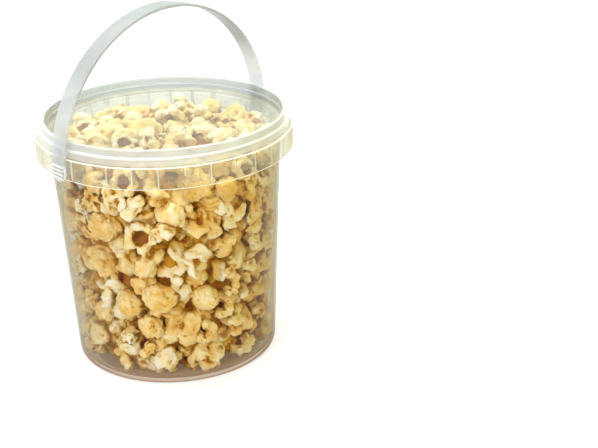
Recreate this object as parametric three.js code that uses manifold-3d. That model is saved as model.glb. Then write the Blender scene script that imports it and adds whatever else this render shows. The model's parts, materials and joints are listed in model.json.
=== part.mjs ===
// A clear plastic lidded bucket with a bail handle, filled with popcorn.
// Millimetres, +Z up, the base centred on the origin and the handle's hinge along X.
import * as THREE from "three";
import { mergeVertices } from "three/addons/utils/BufferGeometryUtils.js";
import Module from "manifold-3d";

const wasm = await Module();
wasm.setup();

// Driving dimensions
const SIDES = 44;
const GAP = 0.35;
const WALL = 0.9;
const FOOT_R = 51;
const BASE_R = 53.5;
const BASE_Z = 3;
const FLOOR_Z = 2.1;
const COLLAR_R = 66.5;
const COLLAR_BOTTOM = 112.4;
const COLLAR_TOP = 123.4;
const SKIRT = 0.9;
const TAPER = 6 / 109.4;
const SHOULDER_R = 62;
const SEAT_Z = 122.9;
const NECK_TOP = 130.2;
const CREST_R = 62;
const CREST_Z = 131.45;
const PANEL_UNDER = 123.2;
const PANEL_TOP = 124.1;
const PIVOT_Z = 117;
const PIN_R = 2.4;
const HOLE_R = 2.8;
const STRAP_IN = 67.1;
const STRAP_T = 1.4;
const STRAP_W = 10.5;
const ARCH_H = 68.7;
const LEAN_DEG = 2.7;
const CORE_INSET = 5;
const CORE_BOTTOM = 9;
const CORE_TOP = 111;

const outerRadius = (z) => BASE_R + (z - BASE_Z) * TAPER;
const innerRadius = (z) => outerRadius(z) - WALL;

// Solids and booleans
function solid(geometry) {
  const bare = geometry.index ? geometry.toNonIndexed() : geometry.clone();
  bare.deleteAttribute("normal");
  bare.deleteAttribute("uv");
  const merged = mergeVertices(bare, 1e-4);
  const faces = [];
  const idx = merged.index.array;
  for (let i = 0; i < idx.length; i += 3) {
    const [a, b, c] = [idx[i], idx[i + 1], idx[i + 2]];
    if (a !== b && b !== c && a !== c) faces.push(a, b, c);
  }
  return new wasm.Manifold(
    new wasm.Mesh({
      numProp: 3,
      vertProperties: merged.attributes.position.array,
      triVerts: new Uint32Array(faces),
    }),
  );
}

function geometryOf(made) {
  const mesh = made.getMesh();
  const g = new THREE.BufferGeometry();
  g.setAttribute("position", new THREE.BufferAttribute(new Float32Array(mesh.vertProperties), 3));
  g.setIndex(new THREE.BufferAttribute(new Uint32Array(mesh.triVerts), 1));
  const flat = g.toNonIndexed();
  flat.computeVertexNormals();
  return flat;
}

function largestBody(made) {
  return made.decompose().reduce((best, s) => (s.volume() > best.volume() ? s : best));
}

function turned(profile, sides = SIDES) {
  const points = profile.map(([r, z]) => new THREE.Vector2(r, z));
  const g = new THREE.LatheGeometry(points, sides);
  g.rotateX(Math.PI / 2);
  const made = solid(g);
  if (made.volume() < 0) throw new Error("profile runs the wrong way round");
  return made;
}

function box(sx, sy, sz, x, y, z, spin = 0) {
  const g = new THREE.BoxGeometry(sx, sy, sz).translate(x, y, z);
  if (spin) g.rotateZ(spin);
  return solid(g);
}

function rod(r, x0, x1, z, sides = 16) {
  const g = new THREE.CylinderGeometry(r, r, x1 - x0, sides);
  g.rotateZ(Math.PI / 2);
  g.translate((x0 + x1) / 2, 0, z);
  return solid(g);
}

// Bucket: tapered shell with a shoulder and a neck that the lid snaps over
function bucketSolid() {
  return turned([
    [0, 1.2],
    [44.5, 1.2],
    [46, 0],
    [FOOT_R, 0],
    [52.5, 0.5],
    [53.25, 1.5],
    [BASE_R, BASE_Z],
    [outerRadius(COLLAR_TOP - WALL), COLLAR_TOP - WALL],
    [SHOULDER_R, COLLAR_TOP - WALL],
    [SHOULDER_R, COLLAR_TOP],
    [62.2, 126.2],
    [62.6, 127.2],
    [62.2, 129.8],
    [62.05, NECK_TOP],
    [61.85, NECK_TOP],
    [61.4, 126],
    [60.9, SEAT_Z],
    [innerRadius(SEAT_Z), SEAT_Z],
    [innerRadius(4.6), 4.6],
    [51.9, 3.2],
    [50.4, FLOOR_Z],
    [0, FLOOR_Z],
  ]);
}

// Collar: ledge and hanging skirt, with a hole for each pin
function collarSolid() {
  const inside = SHOULDER_R + GAP;
  const ledgeUnder = COLLAR_TOP - WALL;
  const ring = turned([
    [inside, ledgeUnder],
    [COLLAR_R - SKIRT, ledgeUnder],
    [COLLAR_R - SKIRT, COLLAR_BOTTOM],
    [COLLAR_R, COLLAR_BOTTOM],
    [COLLAR_R, COLLAR_TOP - 0.5],
    [COLLAR_R - 0.5, COLLAR_TOP],
    [inside, COLLAR_TOP],
    [inside, ledgeUnder],
  ]);
  const holes = [rod(HOLE_R, 64.5, 68, PIVOT_Z), rod(HOLE_R, -68, -64.5, PIVOT_Z)];
  return ring.subtract(wasm.Manifold.union(holes));
}

// Lid: snap rim over the neck, plug wall, recessed panel with a stacking ring
function lidSolid() {
  return turned([
    [0, PANEL_UNDER],
    [59.7, PANEL_UNDER],
    [60.5, 123.8],
    [61.05, 126],
    [61.5, 130.1],
    [61.75, 130.6],
    [62.2, 130.65],
    [62.55, 130.2],
    [62.95, 127.7],
    [63.95, 126.9],
    [64.3, COLLAR_TOP + GAP],
    [65, COLLAR_TOP + GAP],
    [64.75, 126.9],
    [64.5, 127.5],
    [63.75, 127.9],
    [63.25, 130.2],
    [62.9, 131],
    [CREST_R, CREST_Z],
    [61.1, 131],
    [60.8, 130.2],
    [60.3, 126],
    [59.4, PANEL_TOP],
    [55.4, PANEL_TOP],
    [55, PANEL_TOP + 0.9],
    [53.9, PANEL_TOP + 0.9],
    [53.5, PANEL_TOP],
    [0, PANEL_TOP],
  ]);
}

// Handle: flat arched strap, rounded ends with grip ridges, pins into the collar
function handleSolid() {
  const arch = new THREE.Shape();
  const steps = 28;
  for (let i = 0; i <= steps; i++) {
    const a = (Math.PI * i) / steps;
    const p = [(STRAP_IN + STRAP_T) * Math.cos(a), (ARCH_H + STRAP_T) * Math.sin(a)];
    if (i) arch.lineTo(...p);
    else arch.moveTo(...p);
  }
  for (let i = steps; i >= 0; i--) {
    const a = (Math.PI * i) / steps;
    arch.lineTo(STRAP_IN * Math.cos(a), ARCH_H * Math.sin(a));
  }
  const g = new THREE.ExtrudeGeometry(arch, { depth: STRAP_W, bevelEnabled: false });
  g.rotateX(Math.PI / 2);
  g.translate(0, STRAP_W / 2, 0);
  const parts = [solid(g)];
  const outer = STRAP_IN + STRAP_T;
  for (const side of [1, -1]) {
    const span = (a, b) => (side > 0 ? [a, b] : [-b, -a]);
    parts.push(rod(STRAP_W / 2, ...span(STRAP_IN, outer), 0, 24));
    parts.push(rod(PIN_R, ...span(64.2, STRAP_IN + 0.5), 0));
    parts.push(rod(PIN_R + 0.9, ...span(63.1, 64.9), 0));
    for (const dz of [-3.3, -1.3, 0.7, 2.7])
      parts.push(box(0.9, dz < -3 ? 6.4 : 8, 0.8, side * (outer + 0.05), 0, dz));
  }
  return wasm.Manifold.union(parts);
}

// Popcorn: the flakes that show, then more packed round them, all fused to a core
const SHOWN = [
  ["ball", 184, 65, 9.2], ["ball", 190, 85, 8.8], ["ball", 221, 47, 9.6], ["cup", 212, 82, 8.9],
  ["star", 214, 67, 9.5], ["wing", 239, 68, 10.6], ["wing", 268, 90, 10.1], ["ball", 245, 108, 8.8],
  ["wing", 199, 102, 7.4], ["lump", 211, 98, 6.9], ["cup", 185, 98, 6], ["star", 229, 94, 9.3],
  ["lump", 226, 85, 6.9], ["wing", 250, 86, 8.5], ["lump", 261, 73, 8.1], ["wing", 287, 79, 6.7],
  ["lump", 297, 49, 9], ["cup", 266, 50, 7.7], ["ball", 248, 45, 8.2], ["wing", 261, 38, 7.7],
  ["lump", 285, 39, 7.4], ["wing", 186, 48, 9.8], ["ball", 202, 43, 7.7], ["ball", 182, 36, 6.2],
  ["lump", 171, 20, 9], ["ball", 214, 31, 6.9], ["wing", 234, 29, 9.8], ["cup", 248, 25, 6.2],
  ["cup", 274, 25, 10], ["wing", 193, 12, 9.4], ["star", 221, 11, 8.8], ["wing", 248, 11, 8.3],
  ["lump", 157, 82, 9.3], ["star", 147, 59, 7.9], ["lump", 278, 99, 8.6], ["ball", 262, 103, 6.4],
  ["lump", 302, 61, 6.9], ["cup", 207, 111, 7.3], ["star", 186, 109, 7.4], ["cup", 274, 111, 7],
];
const SHOWN_ON_TOP = [
  ["lump", 105, 50, 7.5], ["ball", 114, 32, 8.5], ["ball", 89, 16, 9], ["star", 354, 8, 8.9],
  ["lump", 14, 37, 8.1], ["wing", 336, 35, 9], ["lump", 336, 50, 6.9], ["star", 50, 47, 7.7],
];
const EMPTY = [[264, 46, 0, 6], [288, 46, 2, 8.5]];
const LAYERS = [["wall", 150, 2.2], ["top", 36, 5], ["floor", 24, 1.5]];
const FILL_SEED = 20417;
const RELAX_STEPS = 200;
const CLOSENESS = 0.86;
const SPHERE_FIT = 0.88;
const TOP_Z = PANEL_UNDER - GAP;

// Minimal standard generator, so the same seed always packs the same flakes
function generator(seed) {
  let state = seed;
  return () => {
    state = (state * 48271) % 2147483647;
    return state / 2147483647;
  };
}

function packedFlakes() {
  const flakes = [];
  const place = (kind, r, deg, d, z, layer, inset) => {
    const a = THREE.MathUtils.degToRad(deg);
    flakes.push({ kind, r, x: d * Math.cos(a), y: d * Math.sin(a), z, layer, inset });
  };
  for (const [kind, deg, z, r] of SHOWN)
    place(kind, r, deg, innerRadius(z) - SPHERE_FIT * r, z, "placed", 0);
  for (const [kind, deg, d, r] of SHOWN_ON_TOP)
    place(kind, r, deg, d, TOP_Z - 1 - SPHERE_FIT * r, "placed", 0);
  for (const [deg, d, z, r] of EMPTY) place("none", r, deg, d, z, "placed", 0);
  const rand = generator(FILL_SEED);
  for (const [layer, count, inset] of LAYERS)
    for (let i = 0; i < count; i++) {
      const r = 6.2 + 3.4 * rand();
      const deg = 360 * rand();
      const along = rand();
      const back = inset * rand();
      if (layer === "wall") place("fill", r, deg, 45, FLOOR_Z + 7 + 106 * along, layer, back);
      else if (layer === "top") place("fill", r, deg, 48 * Math.sqrt(along), 112, layer, back);
      else place("fill", r, deg, 44 * Math.sqrt(along), 9, layer, back);
    }
  for (let step = 0; step < RELAX_STEPS; step++) {
    const push = flakes.map(() => [0, 0, 0]);
    for (let i = 0; i < flakes.length; i++)
      for (let j = i + 1; j < flakes.length; j++) {
        const p = flakes[i];
        const q = flakes[j];
        const apart = [p.x - q.x, p.y - q.y, p.z - q.z];
        const d = Math.hypot(...apart);
        const over = (p.r + q.r) * CLOSENESS - d;
        if (over <= 0) continue;
        for (let k = 0; k < 3; k++) {
          const shift = (0.45 * over * apart[k]) / d;
          push[i][k] += shift;
          push[j][k] -= shift;
        }
      }
    flakes.forEach((p, i) => {
      if (p.layer === "placed") return;
      const fit = SPHERE_FIT * p.r;
      p.x += push[i][0];
      p.y += push[i][1];
      p.z = Math.min(Math.max(p.z + push[i][2], FLOOR_Z + fit), TOP_Z - fit);
      if (p.layer === "top") p.z = TOP_Z - fit - p.inset;
      if (p.layer === "floor") p.z = FLOOR_Z + fit + p.inset;
      const atWall = p.layer === "wall";
      const reach = Math.max(Math.hypot(p.x, p.y), 1e-9);
      const limit = innerRadius(p.z) - fit - (atWall ? p.inset : 0);
      if (atWall || reach > limit) {
        p.x *= limit / reach;
        p.y *= limit / reach;
      }
    });
  }
  return flakes.filter((p) => p.kind !== "none");
}

// A point kept inside the bucket, clear of wall, floor and lid
function held(p) {
  p.z = Math.min(Math.max(p.z, FLOOR_Z + GAP), TOP_Z);
  const apothem = Math.cos(Math.PI / SIDES);
  const limit = Math.min(innerRadius(p.z) * apothem, 48.9 + (p.z - FLOOR_Z)) - GAP;
  const reach = Math.hypot(p.x, p.y);
  if (reach > limit) {
    p.x *= limit / reach;
    p.y *= limit / reach;
  }
  return p;
}

function lobe(centre, r, rand, form = THREE.IcosahedronGeometry) {
  const g = mergeVertices(new form(r, 0).deleteAttribute("normal").deleteAttribute("uv"));
  const turn = new THREE.Euler(6.3 * rand(), 6.3 * rand(), 6.3 * rand());
  const pos = g.attributes.position;
  const p = new THREE.Vector3();
  for (let i = 0; i < pos.count; i++) {
    p.fromBufferAttribute(pos, i).applyEuler(turn).multiplyScalar(0.94 + 0.2 * rand()).add(centre);
    held(p);
    pos.setXYZ(i, p.x, p.y, p.z);
  }
  return solid(g);
}

function popcornSolid() {
  const rand = generator(7331);
  const parts = [
    turned([
      [0, CORE_BOTTOM],
      [innerRadius(CORE_BOTTOM) - CORE_INSET - 3, CORE_BOTTOM],
      [innerRadius(CORE_BOTTOM + 6) - CORE_INSET, CORE_BOTTOM + 6],
      [innerRadius(CORE_TOP) - CORE_INSET, CORE_TOP - 3],
      [innerRadius(CORE_TOP) - CORE_INSET - 3, CORE_TOP],
      [0, CORE_TOP],
    ], 20),
  ];
  for (const f of packedFlakes()) {
    const c = new THREE.Vector3(f.x, f.y, f.z);
    if (f.kind === "fill") {
      parts.push(lobe(c, 1.06 * f.r, rand, THREE.OctahedronGeometry));
    } else if (f.kind === "wing") {
      const along = new THREE.Vector3(rand() - 0.5, rand() - 0.5, rand() - 0.5).setLength(0.46 * f.r);
      parts.push(lobe(c.clone().add(along), 0.66 * f.r, rand));
      parts.push(lobe(c.clone().sub(along), 0.72 * f.r, rand));
    } else {
      parts.push(lobe(c, 0.96 * f.r, rand));
    }
  }
  return largestBody(wasm.Manifold.union(parts));
}

// Assembly
const clear = new THREE.MeshStandardMaterial({
  color: 0xdfe6e3, roughness: 0.15, transparent: true, opacity: 0.3, depthWrite: false,
});
const frosted = new THREE.MeshStandardMaterial({
  color: 0xe2e8e6, roughness: 0.3, transparent: true, opacity: 0.5, depthWrite: false,
});
const corn = new THREE.MeshStandardMaterial({ color: 0xe8cf96, roughness: 0.8 });

function named(name, made, material) {
  const mesh = new THREE.Mesh(geometryOf(made), material);
  mesh.name = name;
  return mesh;
}

const part = new THREE.Group();
part.add(named("popcorn", popcornSolid(), corn));
part.add(named("bucket", bucketSolid(), clear));
part.add(named("collar", collarSolid(), clear));
part.add(named("lid", lidSolid(), clear));

const pivot = new THREE.Group();
pivot.position.z = PIVOT_Z;
pivot.rotation.x = THREE.MathUtils.degToRad(LEAN_DEG);
pivot.add(named("handle", handleSolid(), frosted));
part.add(pivot);

export default part;
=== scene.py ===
"""A clear lidded bucket of popcorn with a bail handle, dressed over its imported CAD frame."""

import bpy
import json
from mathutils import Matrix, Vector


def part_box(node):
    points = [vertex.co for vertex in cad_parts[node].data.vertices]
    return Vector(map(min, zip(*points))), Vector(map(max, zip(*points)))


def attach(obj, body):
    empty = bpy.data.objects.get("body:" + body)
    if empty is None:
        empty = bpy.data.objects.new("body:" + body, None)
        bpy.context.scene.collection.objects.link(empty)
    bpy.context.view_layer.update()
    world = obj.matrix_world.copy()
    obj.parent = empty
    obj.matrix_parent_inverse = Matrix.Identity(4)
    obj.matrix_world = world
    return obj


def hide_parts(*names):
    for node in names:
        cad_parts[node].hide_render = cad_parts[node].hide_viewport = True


bl_info = {
    "name": "Popcorn bucket",
    "version": (1, 0, 0),
    "blender": (4, 5, 0),
    "location": "3D View > Sidebar > Popcorn bucket",
    "description": "Builds a clear lidded bucket with a swinging handle and its heap of popcorn",
    "category": "Add Mesh",
}

import json
import math

import bpy
import numpy as np
from bpy.props import FloatProperty, FloatVectorProperty, IntProperty, PointerProperty
from mathutils import Matrix, Vector

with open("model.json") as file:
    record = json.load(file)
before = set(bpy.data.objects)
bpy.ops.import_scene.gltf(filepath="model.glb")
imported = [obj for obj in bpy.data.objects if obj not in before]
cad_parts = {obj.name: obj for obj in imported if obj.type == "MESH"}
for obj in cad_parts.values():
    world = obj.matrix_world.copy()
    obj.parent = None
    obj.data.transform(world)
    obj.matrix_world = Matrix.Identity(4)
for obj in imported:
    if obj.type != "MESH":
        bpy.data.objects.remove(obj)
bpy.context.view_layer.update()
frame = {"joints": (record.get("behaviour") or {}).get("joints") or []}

MM = 0.001
CLEAR = (1, 1, 1)
DOUBLED = 2e-6
COLLAR_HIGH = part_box("collar")[1]
LID_LOW, LID_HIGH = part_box("lid")
HINGE_HEIGHT = frame["joints"][0]["pos_m"][2]


def length(name, description, default):
    return FloatProperty(name=name, description=description, default=default, unit="LENGTH", precision=5)


def colour(name, description, default):
    return FloatVectorProperty(
        name=name, description=description, default=default, subtype="COLOR", size=3, min=0, max=1
    )


def share(name, description, default):
    return FloatProperty(
        name=name, description=description, default=default, subtype="FACTOR", min=0, max=1
    )


class BucketSizes(bpy.types.PropertyGroup):
    """Sizes of the bucket, lid and handle"""

    wall: length("Wall", "Thickness of the bucket's wall", 0.9 * MM)
    base_radius: length("Base radius", "Outer radius where the wall starts", 53.5 * MM)
    base_height: length("Base height", "Height where the straight wall starts", 3 * MM)
    floor_height: length("Floor", "Height of the inner floor", 2.1 * MM)
    taper: FloatProperty(name="Taper", description="Growth of the radius with height", default=6 / 109.4)
    collar_radius: length("Collar radius", "Outer radius of the collar", COLLAR_HIGH.y)
    collar_top: length("Collar top", "Height of the ledge", COLLAR_HIGH.z)
    collar_bottom: length("Collar bottom", "Height of the skirt's lower edge", 112.4 * MM)
    web_count: IntProperty(name="Webs", description="Webs behind the skirt, all round", default=32)
    panel_under: length("Panel", "Height of the lid panel's underside", LID_LOW.z)
    crest_height: length("Crest", "Height of the lid's crest", LID_HIGH.z)
    pivot_height: length("Pivot", "Height of the handle's hinge", HINGE_HEIGHT)
    strap_inside: length("Strap radius", "Inner half span of the handle at its hinge", 67.1 * MM)
    strap_thickness: length("Strap thickness", "Thickness of the handle's strap", 1.4 * MM)
    strap_width: length("Strap width", "Width of the handle's strap", 10.5 * MM)
    arch_height: length("Arch", "Inner height of the handle above its hinge", 68.7 * MM)
    lean: FloatProperty(
        name="Lean", description="Lean of the handle at rest", default=math.radians(2.7), subtype="ANGLE"
    )


class PlasticLooks(bpy.types.PropertyGroup):
    """Finish of the clear plastic, with the colours of its painted shade and painted highlights"""

    tint: colour("Tint", "Light that passes through", (0.965, 0.97, 0.962))
    # Painted shade: light through the foot is tinted warm brown, for popcorn in shadow behind it.
    foot_shade_tint: colour("Foot tint", "Light that passes through the foot", (0.88, 0.77, 0.66))
    lid_tint: colour("Lid tint", "Light that passes through the lid", (0.932, 0.946, 0.928))
    lid_edge_tint: colour("Lid edge tint", "Light that passes along the lid", (0.74, 0.775, 0.77))
    # Painted shade: the lid's inner bowl wall passes less, bluer light.
    bowl_shade_tint: colour("Bowl tint", "Light that passes through the lid's inner wall", (0.845, 0.858, 0.915))
    edge_tint: colour("Edge tint", "Light that passes along the wall", (0.68, 0.655, 0.53))
    haze_colour: colour("Haze", "Colour of the milky veil in the plastic", (0.45, 0.425, 0.32))
    # Painted shade: the veil at the foot is brown, for popcorn in shadow seen through it.
    foot_shade_colour: colour("Base", "Colour of the veil at the foot", (0.53, 0.4, 0.3))
    collar_colour: colour("Collar", "Colour of the veil in the collar", (0.8, 0.78, 0.7))
    rim_colour: colour("Rim", "Colour of the veil in the lid", (0.95, 0.95, 1.0))
    strap_colour: colour("Strap", "Colour of the veil in the handle", (0.395, 0.42, 0.455))
    edge_colour: colour("Edges", "Colour of the light that gathers in thin edges", (0.95, 0.96, 0.95))
    wall_haze: share("Wall haze", "Veil of the wall, seen straight on", 0.0)
    wall_edge_haze: share("Wall edge haze", "Veil of the wall, seen edge on", 0.56)
    lid_haze: share("Lid haze", "Veil of the lid, seen straight on", 0.012)
    lid_edge_haze: share("Lid edge haze", "Veil of the lid, seen edge on", 0.2)
    strap_haze: share("Strap haze", "Veil of the handle, seen straight on", 0.62)
    strap_edge_haze: share("Strap edge haze", "Veil of the handle, seen edge on", 0.6)


class PopcornLooks(bpy.types.PropertyGroup):
    """Colours of the popcorn"""

    paper: colour("Paper", "The palest flakes", (0.93, 0.85, 0.68))
    white: colour("White", "Freshly popped crests", (0.92, 0.75, 0.4))
    cream: colour("Cream", "Most of a flake", (0.83, 0.535, 0.16))
    gold: colour("Gold", "Toasted parts", (0.69, 0.39, 0.045))
    hull: colour("Hull", "Hull in the hollows", (0.27, 0.095, 0.012))
    crease: colour("Crease", "What is left of the light in deep creases", (0.41, 0.19, 0.002))


class StageLooks(bpy.types.PropertyGroup):
    """Camera and light"""

    lens: FloatProperty(name="Lens", description="Focal length in millimetres", default=79.74)
    floor: colour("Floor", "Colour of the floor", (0.27, 0.27, 0.27))
    floor_glow: FloatProperty(name="Floor glow", description="Light the floor gives off", default=0.72)
    sky: FloatProperty(name="Sky", description="Strength of the even light", default=0.24)
    exposure: FloatProperty(name="Exposure", description="Exposure of the view", default=0.0)


def sizes():
    return bpy.context.scene.bucket_sizes


def plastics():
    return bpy.context.scene.plastic_looks


def outer_radius(z):
    s = sizes()
    return s.base_radius + (z - s.base_height) * s.taper


def outer_mm(z):
    return outer_radius(z * MM) / MM


def wall_mm(z):
    """Inner radius of the wall at a height, in millimetres."""
    return (outer_radius(z * MM) - sizes().wall) / MM


# Modelling by operators

def select(piece):
    bpy.ops.object.select_all(action="DESELECT")
    piece.select_set(True)
    bpy.context.view_layer.objects.active = piece


def settle(piece):
    """Puts a piece's place, turn and scale into its mesh."""
    select(piece)
    bpy.ops.object.transform_apply(location=True, rotation=True, scale=True)


def start_piece(add, name, stretch=(1, 1, 1), **options):
    bpy.ops.object.select_all(action="DESELECT")
    add(**options)
    piece = bpy.context.object
    piece.name = piece.data.name = name
    piece.scale = stretch
    settle(piece)
    return piece


def edit(piece):
    select(piece)
    bpy.ops.object.mode_set(mode="EDIT")
    bpy.ops.mesh.select_mode(type="VERT")


def every_point():
    bpy.ops.mesh.select_all(action="SELECT")


def done():
    bpy.ops.object.mode_set(mode="OBJECT")


def close_up():
    """Merges doubled points, turns the faces outward and leaves edit mode."""
    every_point()
    bpy.ops.mesh.remove_doubles(threshold=DOUBLED)
    bpy.ops.mesh.normals_make_consistent(inside=False)
    done()


def apply_all(piece):
    select(piece)
    for name in [m.name for m in piece.modifiers]:
        bpy.ops.object.modifier_apply(modifier=name)


def join(pieces):
    bpy.ops.object.select_all(action="DESELECT")
    for p in pieces:
        p.select_set(True)
    bpy.context.view_layer.objects.active = pieces[0]
    bpy.ops.object.join()
    return pieces[0]


def combine(piece, tool, operation):
    m = piece.modifiers.new(operation.title(), "BOOLEAN")
    m.object = tool
    m.operation = operation
    m.solver = "EXACT"
    apply_all(piece)
    bpy.data.objects.remove(tool)


def skin(piece, voxel):
    m = piece.modifiers.new("Skin", "REMESH")
    m.mode = "VOXEL"
    m.voxel_size = voxel


def smooth(piece, degrees=38):
    select(piece)
    bpy.ops.object.shade_smooth_by_angle(angle=math.radians(degrees))


def filleted(corners, steps=5):
    """Profile points with the corners (r, z, fillet) rounded."""
    points = []
    for i, (r, z, fillet) in enumerate(corners):
        here = Vector((r, z))
        if not fillet or i in (0, len(corners) - 1):
            points.append(here)
            continue
        back = Vector(corners[i - 1][:2]) - here
        on = Vector(corners[i + 1][:2]) - here
        half = back.angle(on) / 2
        reach = min(fillet / math.tan(half), 0.49 * back.length, 0.49 * on.length)
        a = here + back.normalized() * reach
        b = here + on.normalized() * reach
        for k in range(steps + 1):
            t = k / steps
            points.append(a * (1 - t) ** 2 + here * (2 * t * (1 - t)) + b * t**2)
    return points


def turn(name, corners, steps=176):
    """Draws a profile in millimetres vertex by vertex and spins it round the bucket's axis."""
    points = [p * MM for p in filleted(corners)]
    piece = start_piece(
        bpy.ops.mesh.primitive_plane_add, name, size=MM, location=(points[0].x, 0, points[0].y)
    )
    edit(piece)
    bpy.ops.mesh.merge(type="CENTER")
    for a, b in zip(points, points[1:]):
        step = (b.x - a.x, 0, b.y - a.y)
        bpy.ops.mesh.extrude_region_move(TRANSFORM_OT_translate={"value": step})
    every_point()
    bpy.ops.mesh.spin(steps=steps, angle=2 * math.pi, center=(0, 0, 0), axis=(0, 0, 1))
    close_up()
    return piece


def plate(name, size, centre, rounding=0.12 * MM):
    """A small bevelled bar."""
    piece = start_piece(
        bpy.ops.mesh.primitive_cube_add, name, stretch=size, size=1, location=centre
    )
    edit(piece)
    every_point()
    bpy.ops.mesh.bevel(offset=rounding, segments=2, affect="EDGES")
    done()
    return piece


def spread(piece, turns):
    """Copies of a piece turned about the axis, each with its own mesh."""
    made = []
    for angle in turns:
        copy = piece.copy()
        copy.data = piece.data.copy()
        bpy.context.scene.collection.objects.link(copy)
        copy.rotation_euler.z = angle
        settle(copy)
        made.append(copy)
    bpy.data.objects.remove(piece)
    return made


def rod(name, radius, x0, x1, z, rounding=0.0, sides=40):
    """A round bar along X, with its radius and ends in millimetres."""
    piece = start_piece(
        bpy.ops.mesh.primitive_cylinder_add, name, vertices=sides, radius=radius * MM,
        depth=abs(x1 * MM - x0 * MM), location=((x0 * MM + x1 * MM) / 2, 0, z),
        rotation=(0, math.pi / 2, 0),
    )
    if rounding:
        m = piece.modifiers.new("Rounding", "BEVEL")
        m.width = rounding
        m.segments = 3
        m.limit_method = "ANGLE"
        apply_all(piece)
    return piece


# Materials

# How the veil and the gloss grow as plastic is seen edge on, and the veil's share of light from behind

VEIL_POWER = 2.6
GLOSS_POWER = 5.0
LEAST_GLOSS = 0.002
BACKLIT = 0.45


def blank_material(name):
    material = bpy.data.materials.new(name)
    material.use_nodes = True
    tree = material.node_tree
    tree.nodes.clear()
    return material, tree


def node(tree, kind, inputs=None, **settings):
    made = tree.nodes.new("ShaderNode" + kind)
    for key, value in settings.items():
        setattr(made, key, value)
    for key, value in (inputs or {}).items():
        if isinstance(value, bpy.types.NodeSocket):
            tree.links.new(value, made.inputs[key])
        else:
            made.inputs[key].default_value = value
    return made


def maths(tree, operation, a, b=0.0, clamp=False):
    return node(tree, "Math", {0: a, 1: b}, operation=operation, use_clamp=clamp).outputs[0]


def noise(tree, place, scale, detail, **more):
    inputs = {"Vector": place, "Scale": scale, "Detail": detail, **more}
    return node(tree, "TexNoise", inputs).outputs["Fac"]


def mixed(tree, factor, a, b):
    return node(tree, "MixShader", {0: factor, 1: a, 2: b}).outputs[0]


def bumped(tree, height, strength, distance):
    inputs = {"Strength": strength, "Distance": distance, "Height": height}
    return node(tree, "Bump", inputs).outputs[0]


def times(tree, a, b):
    return maths(tree, "MULTIPLY", a, b)


def plus(tree, a, b, clamp=False):
    return maths(tree, "ADD", a, b, clamp)


def scaled(tree, value, factor, start):
    """A socket's value times a factor, added to a start."""
    inputs = {0: value, 1: factor, 2: start}
    return node(tree, "Math", inputs, operation="MULTIPLY_ADD").outputs[0]


def blend(tree, factor, a, b, way="MIX"):
    a, b = (v if isinstance(v, bpy.types.NodeSocket) else (*v, 1) for v in (a, b))
    settings = {"data_type": "RGBA", "clamp_factor": True, "blend_type": way}
    return node(tree, "Mix", {0: factor, 6: a, 7: b}, **settings).outputs[2]


def ramp(tree, factor, stops):
    """A colour ramp through stops of position and colour."""
    made = node(tree, "ValToRGB", {0: factor})
    elements = made.color_ramp.elements
    for at, shade in stops[1:-1]:
        elements.new(at)
    for element, (at, shade) in zip(elements, stops):
        element.position = at
        element.color = (*shade, 1)
    return made.outputs[0]


def clear_plastic(
    name, milk, haze, edge_haze, roughness, extra, tone=None, shine=0.3, through=None, painted_shade=None
):
    """Clear moulded plastic: tinted see-through, a veil that thickens edge on, and a gloss."""
    looks = plastics()
    material, tree = blank_material(name)
    place = node(tree, "TexCoord").outputs["Object"]
    facing = node(tree, "LayerWeight", {"Blend": 0.5}).outputs["Facing"]
    slant = maths(tree, "POWER", facing, VEIL_POWER)
    mottle = scaled(tree, noise(tree, place, 55.0, 3.0), 0.6, 0.7)
    veil = times(tree, scaled(tree, slant, edge_haze, haze), mottle)
    # The extras give more veil and a glow; the glow is painted highlights, in bright lines of the edge
    # colour.
    more, glow = extra(tree, place)
    veil = plus(tree, plus(tree, veil, more), glow, True)
    own = tone(tree, place, milk) if tone else milk
    colour_in = blend(tree, glow, own, looks.edge_colour)
    dents = bumped(tree, noise(tree, place, 240.0, 2.0), 0.06, 0.4 * MM)
    clear, dim = through or (looks.tint, looks.edge_tint)
    tint = blend(tree, slant, clear, dim)
    # Painted shade, where given, darkens the light that passes through.
    if painted_shade:
        tint = blend(tree, 1.0, tint, painted_shade(tree, place), "MULTIPLY")
    see = node(tree, "BsdfTransparent", {"Color": tint}).outputs[0]
    lit = node(tree, "BsdfDiffuse", {"Color": colour_in}).outputs[0]
    backlit = node(tree, "BsdfTranslucent", {"Color": colour_in}).outputs[0]
    body = mixed(tree, veil, see, mixed(tree, BACKLIT, lit, backlit))
    gloss = node(
        tree, "BsdfGlossy", {"Color": (1, 1, 1, 1), "Roughness": roughness, "Normal": dents}
    ).outputs[0]
    bounce = scaled(tree, maths(tree, "POWER", facing, GLOSS_POWER), shine, LEAST_GLOSS)
    node(tree, "OutputMaterial", {"Surface": mixed(tree, bounce, body, gloss)})
    return material


def polar(tree, place):
    """Distance from the axis and height of a point, as sockets."""
    parts = node(tree, "SeparateXYZ", {0: place}).outputs
    flat = node(tree, "CombineXYZ", {0: parts["X"], 1: parts["Y"]}).outputs[0]
    return node(tree, "VectorMath", {0: flat}, operation="LENGTH").outputs["Value"], parts["Z"]


def band(tree, value, middle, sign, width):
    """Rises from 0 to 1 across the middle, or falls with a negative sign, in millimetres."""
    half = sign * width / 2
    ends = {"Value": value, "From Min": (middle - half) * MM, "From Max": (middle + half) * MM}
    return node(tree, "MapRange", ends, interpolation_type="SMOOTHSTEP").outputs[0]


def give(piece, material, body, slot, *nodes):
    piece.data.materials.clear()
    piece.data.materials.append(material)
    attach(piece, body)
    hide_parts(*nodes)


# Camera: turn about the bucket, then place in millimetres and pitch, yaw and roll in degrees

VIEW_TURN = -41.8
CAMERA_PLACE = (26.62, -656.01, 339.0)
CAMERA_ANGLES = (22.726, 3.638, -1.505)
SENSOR_WIDTH = 36

# Lamps: name, place, width, height, watts, colour

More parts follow.
